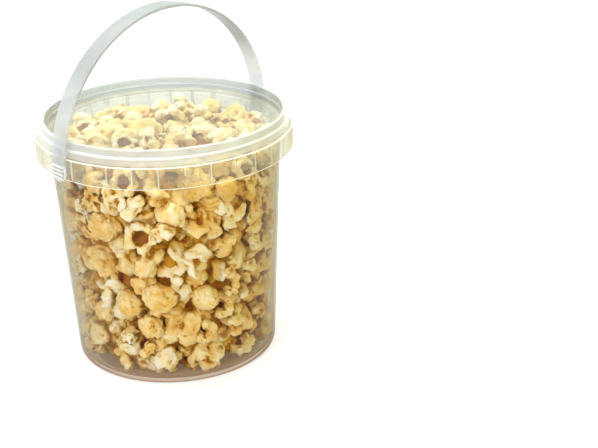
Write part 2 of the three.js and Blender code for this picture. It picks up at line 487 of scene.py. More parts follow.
LAMPS = (
    ("key", (-0.6, -0.95, 0.65), 0.4, 0.4, 10, (1, 0.95, 0.94)),
    ("top", (-0.1, 0.1, 1.1), 0.8, 0.8, 26.5, (0.95, 1, 0.9)),
    ("fill", (0.9, -0.6, 0.45), 0.6, 0.6, 4.9, (1, 0.8, 0.08)),
    ("back", (0.35, 1.1, 0.1), 0.8, 0.25, 5.5, (1, 0.96, 0.9)),
)
LAMP_AIM = Vector((0, 0, 0.08))


class BUCKET_OT_stage(bpy.types.Operator):
    """Camera at the viewing angle, pale floor and soft light"""

    bl_idname = "popcorn_bucket.stage"
    bl_label = "Stage"

    def execute(self, context):
        looks = context.scene.stage_looks
        bpy.ops.object.select_all(action="DESELECT")
        bpy.ops.object.camera_add()
        camera = context.object
        camera.name = "camera"
        turn_back = Matrix.Rotation(math.radians(VIEW_TURN), 4, "Z")
        pitch, yaw, roll = (math.radians(v) for v in CAMERA_ANGLES)
        ahead = Vector(
            (math.sin(yaw) * math.cos(pitch), math.cos(yaw) * math.cos(pitch), -math.sin(pitch))
        )
        right = Vector((math.cos(yaw), -math.sin(yaw), 0))
        up = right.cross(ahead)
        x_axis = math.cos(roll) * right + math.sin(roll) * up
        y_axis = -math.sin(roll) * right + math.cos(roll) * up
        view = Matrix((x_axis, y_axis, -ahead)).transposed().to_4x4()
        view.translation = Vector(CAMERA_PLACE) * MM
        camera.matrix_world = turn_back @ view
        camera.data.lens = looks.lens
        camera.data.sensor_width = SENSOR_WIDTH
        camera.data.sensor_fit = "HORIZONTAL"
        camera.data.clip_start = 0.01
        context.scene.camera = camera

        bpy.ops.mesh.primitive_plane_add(size=6)
        floor = context.object
        floor.name = "floor"
        material, tree = blank_material("pale_floor")
        place = node(tree, "TexCoord").outputs["Object"]
        darker = [0.97 * c for c in looks.floor]
        shade = blend(tree, noise(tree, place, 3.0, 2.0), looks.floor, darker)
        surface = node(tree, "BsdfPrincipled", {
            "Base Color": shade, "Roughness": 0.7,
            "Emission Color": (1, 1, 1, 1), "Emission Strength": looks.floor_glow,
        })
        node(tree, "OutputMaterial", {"Surface": surface.outputs[0]})
        floor.data.materials.append(material)

        world = bpy.data.worlds.new("studio")
        world.use_nodes = True
        sky = world.node_tree.nodes["Background"]
        sky.inputs["Color"].default_value = (1, 1, 1, 1)
        sky.inputs["Strength"].default_value = looks.sky
        context.scene.world = world
        for row in LAMPS:
            self.lamp(turn_back, *row)
        context.scene.view_settings.view_transform = "Standard"
        context.scene.view_settings.exposure = looks.exposure
        context.scene.cycles.transparent_max_bounces = 40
        return {"FINISHED"}

    def lamp(self, turn_back, name, place, width, height, watts, tone):
        bpy.ops.object.light_add(type="AREA")
        lamp = bpy.context.object
        lamp.name = name
        lamp.data.shape = "RECTANGLE"
        lamp.data.size = width
        lamp.data.size_y = height
        lamp.data.energy = watts
        lamp.data.color = tone
        lamp.visible_camera = False
        at = turn_back @ Vector(place)
        aim = LAMP_AIM - at
        lamp.matrix_world = Matrix.Translation(at) @ aim.to_track_quat("-Z", "Y").to_matrix().to_4x4()


class BUCKET_OT_tub(bpy.types.Operator):
    """Clear bucket: foot, tapered wall, collar with webs, neck"""

    bl_idname = "popcorn_bucket.tub"
    bl_label = "Bucket"

    def execute(self, context):
        s = sizes()
        wall = s.wall / MM
        top = s.collar_top / MM
        bottom = s.collar_bottom / MM
        rim = s.collar_radius / MM
        under = top - wall
        tub = turn("bucket_shell", [
            (0, 1.2, 0), (44.2, 1.2, 0.8), (45.8, 0, 0.5), (outer_mm(0), 0, 3.2),
            (outer_mm(under), under, 0.5), (rim - 0.9, under, 0.5), (rim - 0.9, bottom, 0.3),
            (rim, bottom, 0.3), (rim, top, 0.6), (62, top, 0.3), (62.2, 126.2, 0.5),
            (62.6, 127.2, 0.4), (62.15, 130.2, 0.12), (61.85, 130.2, 0.12), (61.4, 126, 0.5),
            (60.9, 122.9, 0.25), (outer_mm(122.9) - wall, 122.9, 0.3),
            (outer_mm(2.1) - wall, 2.1, 3), (0, 2.1, 0),
        ])
        for side in (1, -1):
            hole = rod("pin_hole", 2.8, side * 64.8, side * 68, s.pivot_height)
            combine(tub, hole, "DIFFERENCE")
        web_top = (under + 0.1) * MM
        skirt = (rim - 0.85) * MM
        half = s.web_count // 2
        turns = [
            (i, 2 * math.pi * (i / s.web_count + 0.004)) for i in range(s.web_count)
            if 1 < i % half < half - 1
        ]
        parts = []
        for short in (False, True):
            low = s.collar_bottom + (6 if short else 0.4) * MM
            inside = outer_radius(low) - 0.05 * MM
            size = (skirt - inside, 0.6 * MM, web_top - low)
            web = plate("web", size, ((skirt + inside) / 2, 0, (web_top + low) / 2))
            parts += spread(web, [a for i, a in turns if (i % 8 in (5, 7)) == short])
        low = s.collar_bottom + 0.4 * MM
        inside = outer_radius(low)
        for dy in (6.5 * MM, -6.5 * MM):
            size = (skirt - inside - 0.3 * MM, 0.9 * MM, web_top - low)
            web = plate("ear_web", size, ((skirt + inside) / 2 - 0.15 * MM, dy, (web_top + low) / 2))
            tail = 107.4 * MM
            edge = outer_radius(tail) - 0.1 * MM
            size = (2.6 * MM, 0.9 * MM, low + 0.2 * MM - tail)
            foot = plate("ear_tail", size, (edge + 1.3 * MM, dy, (low + tail) / 2))
            parts += spread(join([web, foot]), (0, math.pi))
        webs = join(parts)
        smooth(webs)
        smooth(tub)
        looks = plastics()

        # The collar's veil, with painted highlights along the skirt's lip and the ledge, and painted shade
        # at the foot.
        def collar_veil_and_painted_light(tree, place):
            reach, height = polar(tree, place)
            collar = times(tree, band(tree, height, bottom - 0.25, 1, 0.5), 0.09)
            outside = band(tree, reach, rim - 0.8, 1, 0.3)
            # The bright lines along the lip and the ledge are painted highlights.
            lip = band(tree, height, bottom + 0.5, -1, 0.3)
            ledge = band(tree, height, top - 0.3, 1, 0.2)
            glow = times(tree, plus(tree, lip, ledge), outside)
            # More veil low on the foot and on its ring carries the painted shade in the foot colour.
            ring = times(tree, band(tree, height, 1.6, -1, 2.4), 1.2)
            base = plus(tree, band(tree, height, 5, -1, 7), ring)
            return plus(tree, collar, times(tree, base, 0.3)), times(tree, glow, 0.85)

        # The veil turns brown towards the foot as painted shade, and takes the collar's own veil colour at
        # the collar.
        def foot_shade_and_collar_tone(tree, place, milk):
            height = polar(tree, place)[1]
            milk = blend(tree, band(tree, height, 6, -1, 6), milk, looks.foot_shade_colour)
            return blend(tree, band(tree, height, bottom, 1, 1), milk, looks.collar_colour)

        # Painted shade: light through the foot turns warm brown towards the bottom.
        def foot_painted_shade(tree, place):
            low = band(tree, polar(tree, place)[1], 4, -1, 5)
            return blend(tree, low, CLEAR, looks.foot_shade_tint)

        def web_veil_and_painted_highlights(tree, place):
            reach, height = polar(tree, place)
            # Painted highlights: the webs' outer edges are lit up in the edge colour.
            edge = band(tree, reach, rim - 1.2, 1, 0.3)
            tails = band(tree, height, bottom - 0.3, -1, 0.6)
            return times(tree, tails, 0.2), times(tree, edge, 0.75)

        clear = clear_plastic(
            "clear_wall", looks.haze_colour, looks.wall_haze, looks.wall_edge_haze, 0.12, collar_veil_and_painted_light,
            foot_shade_and_collar_tone, painted_shade=foot_painted_shade,
        )
        shining = clear_plastic("clear_webs", looks.rim_colour, 0.03, 0.2, 0.15, web_veil_and_painted_highlights)
        give(tub, clear, "tub", "clear_wall", "bucket", "collar")
        give(webs, shining, "tub", "clear_wall", "collar")
        webs.name = webs.data.name = "collar_webs"
        return {"FINISHED"}


class BUCKET_OT_lid(bpy.types.Operator):
    """Clear lid that snaps over the neck, with a recessed panel"""

    bl_idname = "popcorn_bucket.lid"
    bl_label = "Lid"

    def execute(self, context):
        s = sizes()
        under = s.panel_under / MM
        crest = s.crest_height / MM
        low = s.collar_top / MM + 0.35
        panel = under + 0.9
        lid = turn("lid_shell", [
            (0, under, 0), (59.9, under, 0.4), (60.6, 124.2, 0.5), (61.05, 126, 0.5),
            (61.5, 130.55, 0.4), (62.5, 130.55, 0.4), (62.95, 127.7, 0.3), (63.95, 126.9, 0.3),
            (64.3, low, 0.2), (65, low, 0.25), (64.75, 127.6, 0.45), (63.75, 127.9, 0.3),
            (63.2, crest, 1.15), (60.85, crest, 1.15), (60.3, 126, 0.8), (59.6, panel, 0.8),
            (55.4, panel, 0.3), (55, panel + 0.9, 0.3), (53.9, panel + 0.9, 0.3), (53.5, panel, 0.3),
            (0, panel, 0),
        ])
        smooth(lid)
        looks = plastics()

        def rim_veil_and_painted_highlights(tree, place):
            reach, height = polar(tree, place)
            rim = band(tree, reach, 60, 1, 0.8)
            # Painted highlights: bright lines on the lid's crest and on its step.
            ridge = band(tree, height, crest - 0.3, 1, 0.3)
            step = times(tree, band(tree, height, 126.9, 1, 0.4), band(tree, height, 127.8, -1, 0.4))
            glow = times(tree, plus(tree, ridge, step), rim)
            outside = band(tree, reach, 62.3, 1, 0.6)
            return times(tree, outside, 0.25), times(tree, glow, 0.3)

        # Painted shade: the lid's inner bowl wall passes less, bluer light.
        def bowl_painted_shade(tree, place):
            reach, height = polar(tree, place)
            ring = times(tree, band(tree, reach, 61.3, -1, 0.4), band(tree, reach, 58, 1, 1))
            bowl = times(tree, band(tree, height, panel + 0.8, 1, 0.6), ring)
            return blend(tree, bowl, CLEAR, looks.bowl_shade_tint)

        clear = clear_plastic(
            "clear_lid", looks.rim_colour, looks.lid_haze, looks.lid_edge_haze, 0.08, rim_veil_and_painted_highlights, None, 0.8,
            (looks.lid_tint, looks.lid_edge_tint), bowl_painted_shade,
        )
        give(lid, clear, "tub", "clear_lid", "lid")
        return {"FINISHED"}


# Rounded ends of the strap: steps, and width left at the tip

END_STEPS = 10
END_TIP = 0.12

# Pin and its head: inner end, outer end, radius

PINS = ((64.2, 67.6, 2.4), (63.1, 64.9, 3.3))

# Heights of the grip ridges from the hinge; the lowest is shorter

GRIPS = (-3.3, -1.3, 0.7, 2.7)


class BUCKET_OT_handle(bpy.types.Operator):
    """Arched strap handle with ribbed ends and pins"""

    bl_idname = "popcorn_bucket.handle"
    bl_label = "Handle"

    def execute(self, context):
        s = sizes()
        thick = s.strap_thickness
        wide = s.strap_width
        middle = s.strap_inside + thick / 2
        strap = start_piece(
            bpy.ops.mesh.primitive_plane_add, "handle_strap", stretch=(thick, wide, 1), size=1,
            location=(middle, 0, 0),
        )
        edit(strap)
        every_point()
        bpy.ops.mesh.bevel(offset=0.42 * MM, segments=3, affect="VERTICES")
        every_point()
        bpy.ops.mesh.spin(steps=96, angle=math.pi, center=(0, 0, 0), axis=(0, 1, 0))
        every_point()
        lift = (s.arch_height + thick / 2) / middle
        bpy.ops.transform.resize(value=(1, 1, lift), center_override=(0, 0, 0))
        for side in (1, -1):
            done()
            for v in strap.data.vertices:
                v.select = abs(v.co.z) < 1e-6 and v.co.x * side > 0
            for item in (*strap.data.edges, *strap.data.polygons):
                item.select = all(strap.data.vertices[i].select for i in item.vertices)
            edit(strap)
            span, drop = 1.0, 0.0
            for k in range(1, END_STEPS + 1):
                a = 0.5 * math.pi * k / END_STEPS
                new_span = max(math.cos(a), END_TIP)
                new_drop = math.sin(a) * wide / 2
                move = {"value": (0, 0, drop - new_drop)}
                bpy.ops.mesh.extrude_region_move(TRANSFORM_OT_translate=move)
                bpy.ops.transform.resize(value=(1, new_span / span, 1), center_override=(0, 0, 0))
                span, drop = new_span, new_drop
        close_up()
        outer = s.strap_inside + thick
        for side in (1, -1):
            for low, high, radius in PINS:
                pin = rod("pin", radius, side * low, side * high, 0, 0.25 * MM)
                combine(strap, pin, "UNION")
            for dz in GRIPS:
                size = (0.9 * MM, (6.4 if dz == GRIPS[0] else 8) * MM, 0.9 * MM)
                bar = plate("grip", size, (side * outer, 0, dz * MM), 0.3 * MM)
                combine(strap, bar, "UNION")
        strap.rotation_euler.x = s.lean
        strap.location.z = s.pivot_height
        settle(strap)
        smooth(strap)
        looks = plastics()

        # Painted highlights on the grip ridges and round the strap's ends, and a thinner veil towards the
        # ends as painted light.
        def grip_painted_light(tree, place):
            parts = node(tree, "SeparateXYZ", {0: place}).outputs
            across = maths(tree, "ABSOLUTE", parts["X"])
            ridges = band(tree, across, outer / MM + 0.15, 1, 0.2)
            above = maths(tree, "SUBTRACT", parts["Z"], s.pivot_height)
            squares = [times(tree, v, v) for v in (parts["Y"], above)]
            reach = maths(tree, "SQRT", plus(tree, *squares))
            border = band(tree, reach, wide / 2 / MM - 0.5, 1, 0.3)
            border = times(tree, border, band(tree, above, 3, -1, 4))
            glow = maths(tree, "MAXIMUM", ridges, times(tree, border, 0.7))
            ends = band(tree, across, 60, 1, 12)
            return times(tree, ends, -0.2), times(tree, glow, 0.85)

        # Painted light: the strap's milk turns paler towards its ends.
        def painted_light_ends(tree, place, milk):
            across = maths(tree, "ABSOLUTE", node(tree, "SeparateXYZ", {0: place}).outputs["X"])
            paler = [1.65 * c for c in milk]
            return blend(tree, band(tree, across, 58, 1, 16), milk, paler)

        frosted = clear_plastic(
            "frosted_strap", looks.strap_colour, looks.strap_haze, looks.strap_edge_haze, 0.22,
            grip_painted_light, painted_light_ends,
        )
        give(strap, frosted, "bail", "frosted_strap", "handle")
        return {"FINISHED"}


# Popcorn: the same flakes as the solid, packed by the same rule, in millimetres

# Placed flakes at the wall: kind, angle, height, radius, toast

SHOWN = (
    ("ball", 184, 65, 9.2, 0.45), ("ball", 190, 85, 8.8, 0.45), ("ball", 221, 47, 9.6, 0.45),
    ("cup", 212, 82, 8.9, 0.2), ("star", 214, 67, 9.5, 0.4), ("wing", 239, 68, 10.6, 0.0),
    ("wing", 268, 90, 10.1, 0.12), ("ball", 245, 108, 8.8, 0.45), ("wing", 199, 102, 7.4, 0.12),
    ("lump", 211, 98, 6.9, 0.2), ("shell", 185, 98, 6, 0.5), ("star", 229, 94, 9.3, 0.35),
    ("lump", 226, 85, 6.9, 0.25), ("wing", 250, 86, 8.5, 0.4), ("lump", 261, 73, 8.1, 0.5),
    ("wing", 287, 79, 6.7, 0.3), ("lump", 297, 49, 9, 0.5), ("curl", 266, 50, 7.7, 0.4),
    ("ball", 248, 45, 8.2, 0.35), ("curl", 261, 38, 7.7, 0.35), ("lump", 285, 39, 7.4, 0.7),
    ("wing", 186, 48, 9.8, 0.05), ("ball", 202, 43, 7.7, 0.45), ("ball", 182, 36, 6.2, 0.45),
    ("lump", 171, 20, 9, 0.35), ("ball", 214, 31, 6.9, 0.45), ("wing", 234, 29, 9.8, 0.35),
    ("curl", 248, 25, 6.2, 0.4), ("shell", 274, 25, 10, 0.35), ("wing", 193, 12, 9.4, 0.25),
    ("star", 221, 11, 8.8, 0.1), ("wing", 248, 11, 8.3, 0.25), ("lump", 157, 82, 9.3, 0.4),
    ("star", 147, 59, 7.9, 0.4), ("lump", 278, 99, 8.6, 0.65), ("ball", 262, 103, 6.4, 0.5),
    ("lump", 302, 61, 6.9, 0.5), ("cup", 207, 111, 7.3, 0.4), ("star", 186, 109, 7.4, 0.4),
    ("cup", 274, 111, 7, 0.4),
)

# Placed flakes under the lid: kind, angle, distance from the axis, radius, toast

SHOWN_ON_TOP = (
    ("lump", 105, 50, 7.5, 0.3), ("ball", 114, 32, 8.5, 0.35), ("ball", 89, 16, 9, 0.35),
    ("star", 354, 8, 8.9, 0.15), ("lump", 14, 37, 8.1, 0.3), ("wing", 336, 35, 9, 0.25),
    ("lump", 336, 50, 6.9, 0.3), ("star", 50, 47, 7.7, 0.3),
)

# Places kept free: angle, distance from the axis, height, radius

EMPTY = ((264, 46, 0, 6), (288, 46, 2, 8.5))

# Filling flakes: layer, count, greatest inset

LAYERS = (("wall", 150, 2.2), ("top", 36, 5), ("floor", 24, 1.5))
FILL_SEED = 20417
TURN_SEED = 977
FORM_SEED = 4001
LEAST_RADIUS = 6.2
RADIUS_RANGE = 3.4
GOLDEN = 0.618
RELAX_STEPS = 200
PUSH = 0.45
CLOSENESS = 0.86
SPHERE_FIT = 0.88
GAP = 0.35

# A filling flake that crowds a placed one steps back, and the lowest placed ones sit lower

CROWDED = 0.98
STEP_BACK = 5
LOWEST = 12.5
LOWERED = 1.5

# Small flakes that close gaps at the wall

SMALL_FLAKES = 52
SMALL_RADII = (4.4, 6.6)
SMALL_INSET = 5
SMALL_MARGIN = 4.6

KINDS = ("wing", "lump", "ball", "star", "curl", "shell", "cup")
SMALL_KINDS = ("wing", "lump", "star", "curl", "shell")
VARIANTS = 4
FORM_TRIANGLES = 2600
FORM_VOXEL = 0.045
LID_FACE = 123

# Room left at the wall, reach of the floor to its rounded corner, depth of the easing, overlap let be

CLEARANCE = 0.2
FLOOR_REACH = 49.1
EASING = 1.2
OVERLAP = 0.4


def generator(seed):
    """Minimal standard generator, so the same seed always gives the same draws."""
    state = seed
    while True:
        state = state * 48271 % 2147483647
        yield state / 2147483647


def reach_of(points):
    return np.hypot(points[:, 0], points[:, 1])


def depth_of(points):
    """How far points lie in from the wall and the lid."""
    return np.minimum(wall_mm(points[:, 2]) - reach_of(points), LID_FACE - points[:, 2])


def rise(values, start, width):
    """Goes from 0 to 1 over a width from a start."""
    return np.clip((values - start) / width, 0, 1)


def read(items, key, width, kind=np.float64):
    values = np.empty(len(items) * width, dtype=kind)
    items.foreach_get(key, values)
    return values.reshape(-1, width)


def store(mesh, values):
    """Keeps crease, hull and toast at the points."""
    # The first value is painted shade: creases, shelter by neighbouring flakes and depth in the heap.
    flake = mesh.attributes.new("flake", "FLOAT_COLOR", "POINT")
    flake.data.foreach_set("color", values.astype(np.float32).ravel())


def packed_flakes():
    """Rows of kind, radius, centre, layer and toast, in millimetres."""
    s = sizes()
    floor = s.floor_height / MM
    top = s.panel_under / MM - GAP
    rows = []

    def add(kind, r, degrees, d, z, layer, inset, toast):
        a = math.radians(degrees)
        rows.append((kind, r, (d * math.cos(a), d * math.sin(a), z), layer, inset, toast))

    for kind, degrees, z, r, toast in SHOWN:
        add(kind, r, degrees, wall_mm(z) - SPHERE_FIT * r, z, "placed", 0, toast)
    for kind, degrees, d, r, toast in SHOWN_ON_TOP:
        add(kind, r, degrees, d, top - 1 - SPHERE_FIT * r, "placed_top", 0, toast)
    for degrees, d, z, r in EMPTY:
        add("none", r, degrees, d, z, "placed", 0, 0)
    draw = generator(FILL_SEED)
    for layer, count, inset in LAYERS:
        for i in range(count):
            r = LEAST_RADIUS + RADIUS_RANGE * next(draw)
            degrees = 360 * next(draw)
            along = next(draw)
            back = inset * next(draw)
            d, z = {
                "wall": (45, floor + 7 + 106 * along),
                "top": (48 * math.sqrt(along), 112),
                "floor": (44 * math.sqrt(along), 9),
            }[layer]
            # Painted light: the top layer is toasted less, so it is paler, as if lit from above.
            least, range_of = (0.1, 0.28) if layer == "top" else (0.05, 0.58)
            toast = least + range_of * ((i * GOLDEN) % 1)
            add(KINDS[i % len(KINDS)], r, degrees, d, z, layer, back, toast)
    kinds, radii, centres, layers, insets, toasts = zip(*rows)
    r, p, layer, inset = (np.array(v) for v in (radii, centres, layers, insets))
    free = ~np.char.startswith(layer, "placed")
    at_wall = layer == "wall"
    fit = SPHERE_FIT * r
    for _ in range(RELAX_STEPS):
        apart = p[:, None] - p[None]
        d = np.sqrt((apart**2).sum(2))
        np.fill_diagonal(d, 1e9)
        over = np.maximum((r[:, None] + r[None]) * CLOSENESS - d, 0)
        push = (apart * (PUSH * over / d)[..., None]).sum(1)
        p[free] += push[free]
        z = np.clip(p[:, 2], floor + fit, top - fit)
        z = np.where(layer == "top", top - fit - inset, z)
        z = np.where(layer == "floor", floor + fit + inset, z)
        p[free, 2] = z[free]
        reach = np.maximum(reach_of(p), 1e-9)
        limit = wall_mm(p[:, 2]) - fit - np.where(at_wall, inset, 0)
        moved = at_wall | (free & (reach > limit))
        p[:, :2] *= np.where(moved, limit / reach, 1)[:, None]
    shown = ~free
    apart = np.linalg.norm(p[:, None] - p[None, shown], axis=2)
    crowding = apart < CROWDED * (r[:, None] + r[None, shown])
    behind = at_wall & crowding.any(1)
    p[shown & (p[:, 2] < LOWEST), 2] -= LOWERED
    p[behind, :2] *= 1 - STEP_BACK / reach_of(p[behind])[:, None]
    made = [
        (kind, r[i], p[i], layers[i], toasts[i]) for i, kind in enumerate(kinds) if kind != "none"
    ]
    return made + small_flakes(p, r, floor + SMALL_MARGIN, top - SMALL_MARGIN)


def small_flakes(p, r, low, high):
    """Rows for small flakes, each in the widest gap that is left at the wall."""
    spots = []
    for z in np.linspace(low, high, 32):
        for a in np.linspace(0, 2 * math.pi, 90, endpoint=False):
            d = wall_mm(z) - SMALL_INSET
            spots.append((d * math.cos(a), d * math.sin(a), z))
    spots = np.array(spots)
    room = (np.linalg.norm(spots[:, None] - p[None], axis=2) - 0.9 * r).min(1)
    made = []
    for i in range(SMALL_FLAKES):
        best = room.argmax()
        small = np.clip(room[best] + 1.5, *SMALL_RADII)
        kind = SMALL_KINDS[i % len(SMALL_KINDS)]
        made.append((kind, small, spots[best].copy(), "small", 0.1 + 0.7 * ((i * GOLDEN) % 1)))
        room = np.minimum(room, np.linalg.norm(spots - spots[best], axis=1) - 0.9 * small)
    return made


def drawn_in(points):
    """A flake's points in millimetres, moved as a whole most of the way off wall, floor and lid."""
    s = sizes()
    over = (reach_of(points) - wall_mm(points[:, 2])).max()
    if over > OVERLAP:
        middle = points[:, :2].mean(0)
        points[:, :2] -= middle / np.hypot(*middle) * 0.75 * (over - OVERLAP)
    over = points[:, 2].max() - s.panel_under / MM
    under = s.floor_height / MM - points[:, 2].min()
    points[:, 2] -= 0.75 * max(over, 0) - 0.3 * max(under, 0)
    return points


def held_inside(points):
    """Points in millimetres eased back from the wall, floor and lid."""
    s = sizes()
    floor = s.floor_height / MM + CLEARANCE
    top = s.panel_under / MM - CLEARANCE
    points[:, 2] = np.clip(points[:, 2], floor, top)
    reach = reach_of(points)
    limit = np.minimum(wall_mm(points[:, 2]), FLOOR_REACH + points[:, 2] - floor) - CLEARANCE
    over = np.maximum(reach - (limit - EASING), 0)
    eased = limit - EASING + EASING * (1 - np.exp(-over / EASING))
    scale = np.where(over > 0, eased / np.maximum(reach, 1e-9), 1)
    points[:, :2] *= scale[:, None]
    return points


def lobes_of(kind, draw):
    """Centres, radii, scales and turns of the swellings that make up a flake of unit radius."""
    rows = []

    def direction():
        z = 2 * next(draw) - 1
        a = 2 * math.pi * next(draw)
        w = math.sqrt(1 - z * z)
        return Vector((w * math.cos(a), w * math.sin(a), z))

    def some(least, range_of):
        return least + range_of * next(draw)

    def angles(count, loose, parts):
        for i in range(count):
            yield 2 * math.pi * (i + loose * next(draw)) / parts

    def round_at(a, z, wide=1, deep=1):
        return Vector((math.cos(a) * wide, math.sin(a) * deep, z))

    def add(at, radius, scale=(1, 1, 1), spin=None):
        rows.append((at, radius, scale, spin or tuple(6.28 * next(draw) for _ in range(3))))

    if kind == "ball":
        add(Vector(), 0.8)
        for _ in range(6):
            add(direction() * some(0.42, 0.1), some(0.46, 0.1))
        for _ in range(4):
            add(direction() * 0.78, some(0.16, 0.1))
    elif kind == "wing":
        add(Vector((0, 0, -0.05)), 0.42, (1.1, 0.9, 0.8))
        for a in angles(4, 0.5, 4):
            at = round_at(a, 0.6 * (next(draw) - 0.4), 1.1, 0.9) * 0.46
            tilt = (1.3 * (next(draw) - 0.5), 1.3 * (next(draw) - 0.5), a)
            add(at, some(0.58, 0.14), (1.0, 0.8, 0.34), tilt)
    elif kind == "star":
        add(Vector((0.1, 0, 0.15)), 0.66, (1.1, 1, 0.75))
        for a in angles(5, 0.5, 6):
            at = round_at(a + 1.2, 0.4 * (next(draw) - 0.6)) * some(0.66, 0.1)
            add(at, some(0.26, 0.12), (1.25, 0.85, 0.7))
    elif kind == "lump":
        for _ in range(3):
            at = direction() * some(0.4, 0.1)
            add(Vector((at.x * 1.35, at.y, at.z * 0.8)), some(0.48, 0.14), (1.1, 0.9, 1))
        for _ in range(4):
            at = direction() * 0.66
            add(Vector((at.x * 1.2, at.y, at.z * 0.8)), some(0.24, 0.12))
    elif kind == "curl":
        count = 6
        sweep = some(3.6, 1.0)
        for i in range(count):
            a = sweep * (i / (count - 1) - 0.5)
            at = round_at(a, 0.12 * (next(draw) - 0.5), 1, 1.15) * 0.54
            add(at, some(0.3, 0.08), (1, 1, 1.35))
        for i in range(3):
            a = sweep * (next(draw) - 0.5)
            add(round_at(a, 0.5 * (next(draw) - 0.5), 1, 1.15) * 0.78, 0.24)
    elif kind == "shell":
        add(Vector((0, 0, 0.1)), 0.5, (1.2, 0.85, 0.7))
        for a in angles(4, 0.5, 4):
            at = round_at(a, -0.3 - 0.25 * next(draw), 1.1, 0.8) * 0.6
            add(at, some(0.38, 0.14))
        for i in range(3):
            a = math.pi * (0.9 + 0.4 * i) + 0.3 * next(draw)
            add(round_at(a, 0.12, 0.72, 0.6), some(0.3, 0.1))
    else:
        add(Vector((0, 0, -0.1)), 0.72)
        for a in angles(6, 0.4, 6):
            at = round_at(a, some(0.12, 0.3), 1, 0.85) * 0.66
            add(at, some(0.26, 0.13))
        for _ in range(3):
            at = direction()
            add(Vector((at.x, at.y, -abs(at.z))) * 0.58, some(0.32, 0.12))
    return rows


def displace(piece, pattern, strength, middle, **settings):
    texture = bpy.data.textures.new("swelling", pattern)
    for key, value in settings.items():
        setattr(texture, key, value)
    m = piece.modifiers.new("Swelling", "DISPLACE")
    m.texture = texture
    m.strength = strength
    m.mid_level = middle


def swell(piece, hard, scale, depth, strength, middle):
    way = "HARD_NOISE" if hard else "SOFT_NOISE"
    displace(piece, "CLOUDS", strength, middle, noise_type=way, noise_scale=scale, noise_depth=depth)


def fold(piece, scale, wave, strength):
    displace(
        piece, "WOOD", strength, 0.5, wood_type="BANDNOISE", noise_basis_2="SAW", noise_scale=scale,
        turbulence=wave,
    )


def flake_form(kind, variant):
    """One popped flake of unit radius: points, triangles, crease and hull values."""
    draw = generator(FORM_SEED + 97 * variant + 13 * KINDS.index(kind))
    for _ in range(5):
        next(draw)
    home = Vector((6.3 * variant + 1.7, 5.1 * KINDS.index(kind), 2.9))
    rows = lobes_of(kind, draw)
    form = start_piece(
        bpy.ops.mesh.primitive_ico_sphere_add, "flake_form", subdivisions=4,
        radius=rows[0][1], location=home + rows[0][0],
    )
    edit(form)
    for at, radius, scale, spin in rows[1:]:
        bpy.ops.mesh.primitive_ico_sphere_add(
            subdivisions=3, radius=radius, location=home + at, rotation=spin, scale=scale
        )
    done()
    skin(form, FORM_VOXEL)
    apply_all(form)
    hollow = home + Vector((0.05, 0, 0.42))
    hollow_radius = 0.5
    if kind == "cup":
        tool = start_piece(
            bpy.ops.mesh.primitive_ico_sphere_add, "hollow", stretch=(1.05, 0.8, 1), subdivisions=4,
            radius=hollow_radius, location=hollow,
        )
        combine(form, tool, "DIFFERENCE")
        skin(form, FORM_VOXEL)
    crumple = {"ball": 0.09, "cup": 0.16, "curl": 0.16, "star": 0.22, "wing": 0.42}.get(kind, 0.32)
    swell(form, False, 0.8, 1, 0.24 if kind == "wing" else 0.2, 0.5)
    swell(form, True, 0.7, 0, -crumple, 0.3)
    fold(form, 0.6, 8, {"ball": 0.1, "star": 0.06}.get(kind, 0.045))
    swell(form, True, 0.27, 1, -0.1, 0.3)
    apply_all(form)
    m = form.modifiers.new("Thinning", "DECIMATE")
    m.ratio = min(1, FORM_TRIANGLES / (2 * len(form.data.polygons)))
    apply_all(form)
    mesh = form.data
    mesh.calc_loop_triangles()
    points = read(mesh.vertices, "co", 3) - np.array(home)
    normals = read(mesh.vertices, "normal", 3)
    triangles = read(mesh.loop_triangles, "vertices", 3, np.int64)
    edges = read(mesh.edges, "vertices", 2, np.int64)
    near = np.array(hollow - home)
    if kind == "cup":
        inside = np.linalg.norm((points - near) / (1.05, 0.8, 1), axis=1)
        hull = rise(-inside, -hollow_radius * 1.14, 0.06) * rise(-points[:, 2], -0.36, 0.12)
    elif kind == "curl":
        inward = -(points[:, 0] * normals[:, 0] + points[:, 1] * normals[:, 1])
        hull = rise(inward, 0.16, 0.1)
    elif kind == "shell":
        middle = np.linalg.norm((points - (0.05, 0.02, 0.3)) / (1.1, 0.75, 0.8), axis=1)
        hull = 0.8 * rise(-middle, -0.42, 0.05)
    else:
        hull = np.zeros(len(points))
    count = np.bincount(edges.ravel(), minlength=len(points))[:, None]
    flat = points.copy()
    for _ in range(26):
        total = np.zeros_like(flat)
        np.add.at(total, edges[:, 0], flat[edges[:, 1]])
        np.add.at(total, edges[:, 1], flat[edges[:, 0]])
        flat += 0.6 * (total / np.maximum(count, 1) - flat)
    crease = ((flat - points) * normals).sum(1)
    if kind in ("wing", "lump", "star"):
        side = points @ np.array((0.5, 0.3, 0.81)) / np.maximum(np.linalg.norm(points, axis=1), 1e-9)
        hull = 0.85 * rise(crease, 0.03, 0.03) * rise(side, 0.55, 0.1)
    points -= points.mean(0)
    reach = np.percentile(np.linalg.norm(points, axis=1), 97)
    bpy.data.objects.remove(form)
    return points / reach, triangles, crease / reach, hull


def corner_normals(points, triangles):
    """Normals at the points of a triangle mesh."""
    a, b, c = (points[triangles[:, k]] for k in range(3))
    across = np.cross(b - a, c - a)
    normals = np.zeros_like(points)
    for k in range(3):
        np.add.at(normals, triangles[:, k], across)
    return normals / np.maximum(np.linalg.norm(normals, axis=1), 1e-12)[:, None]


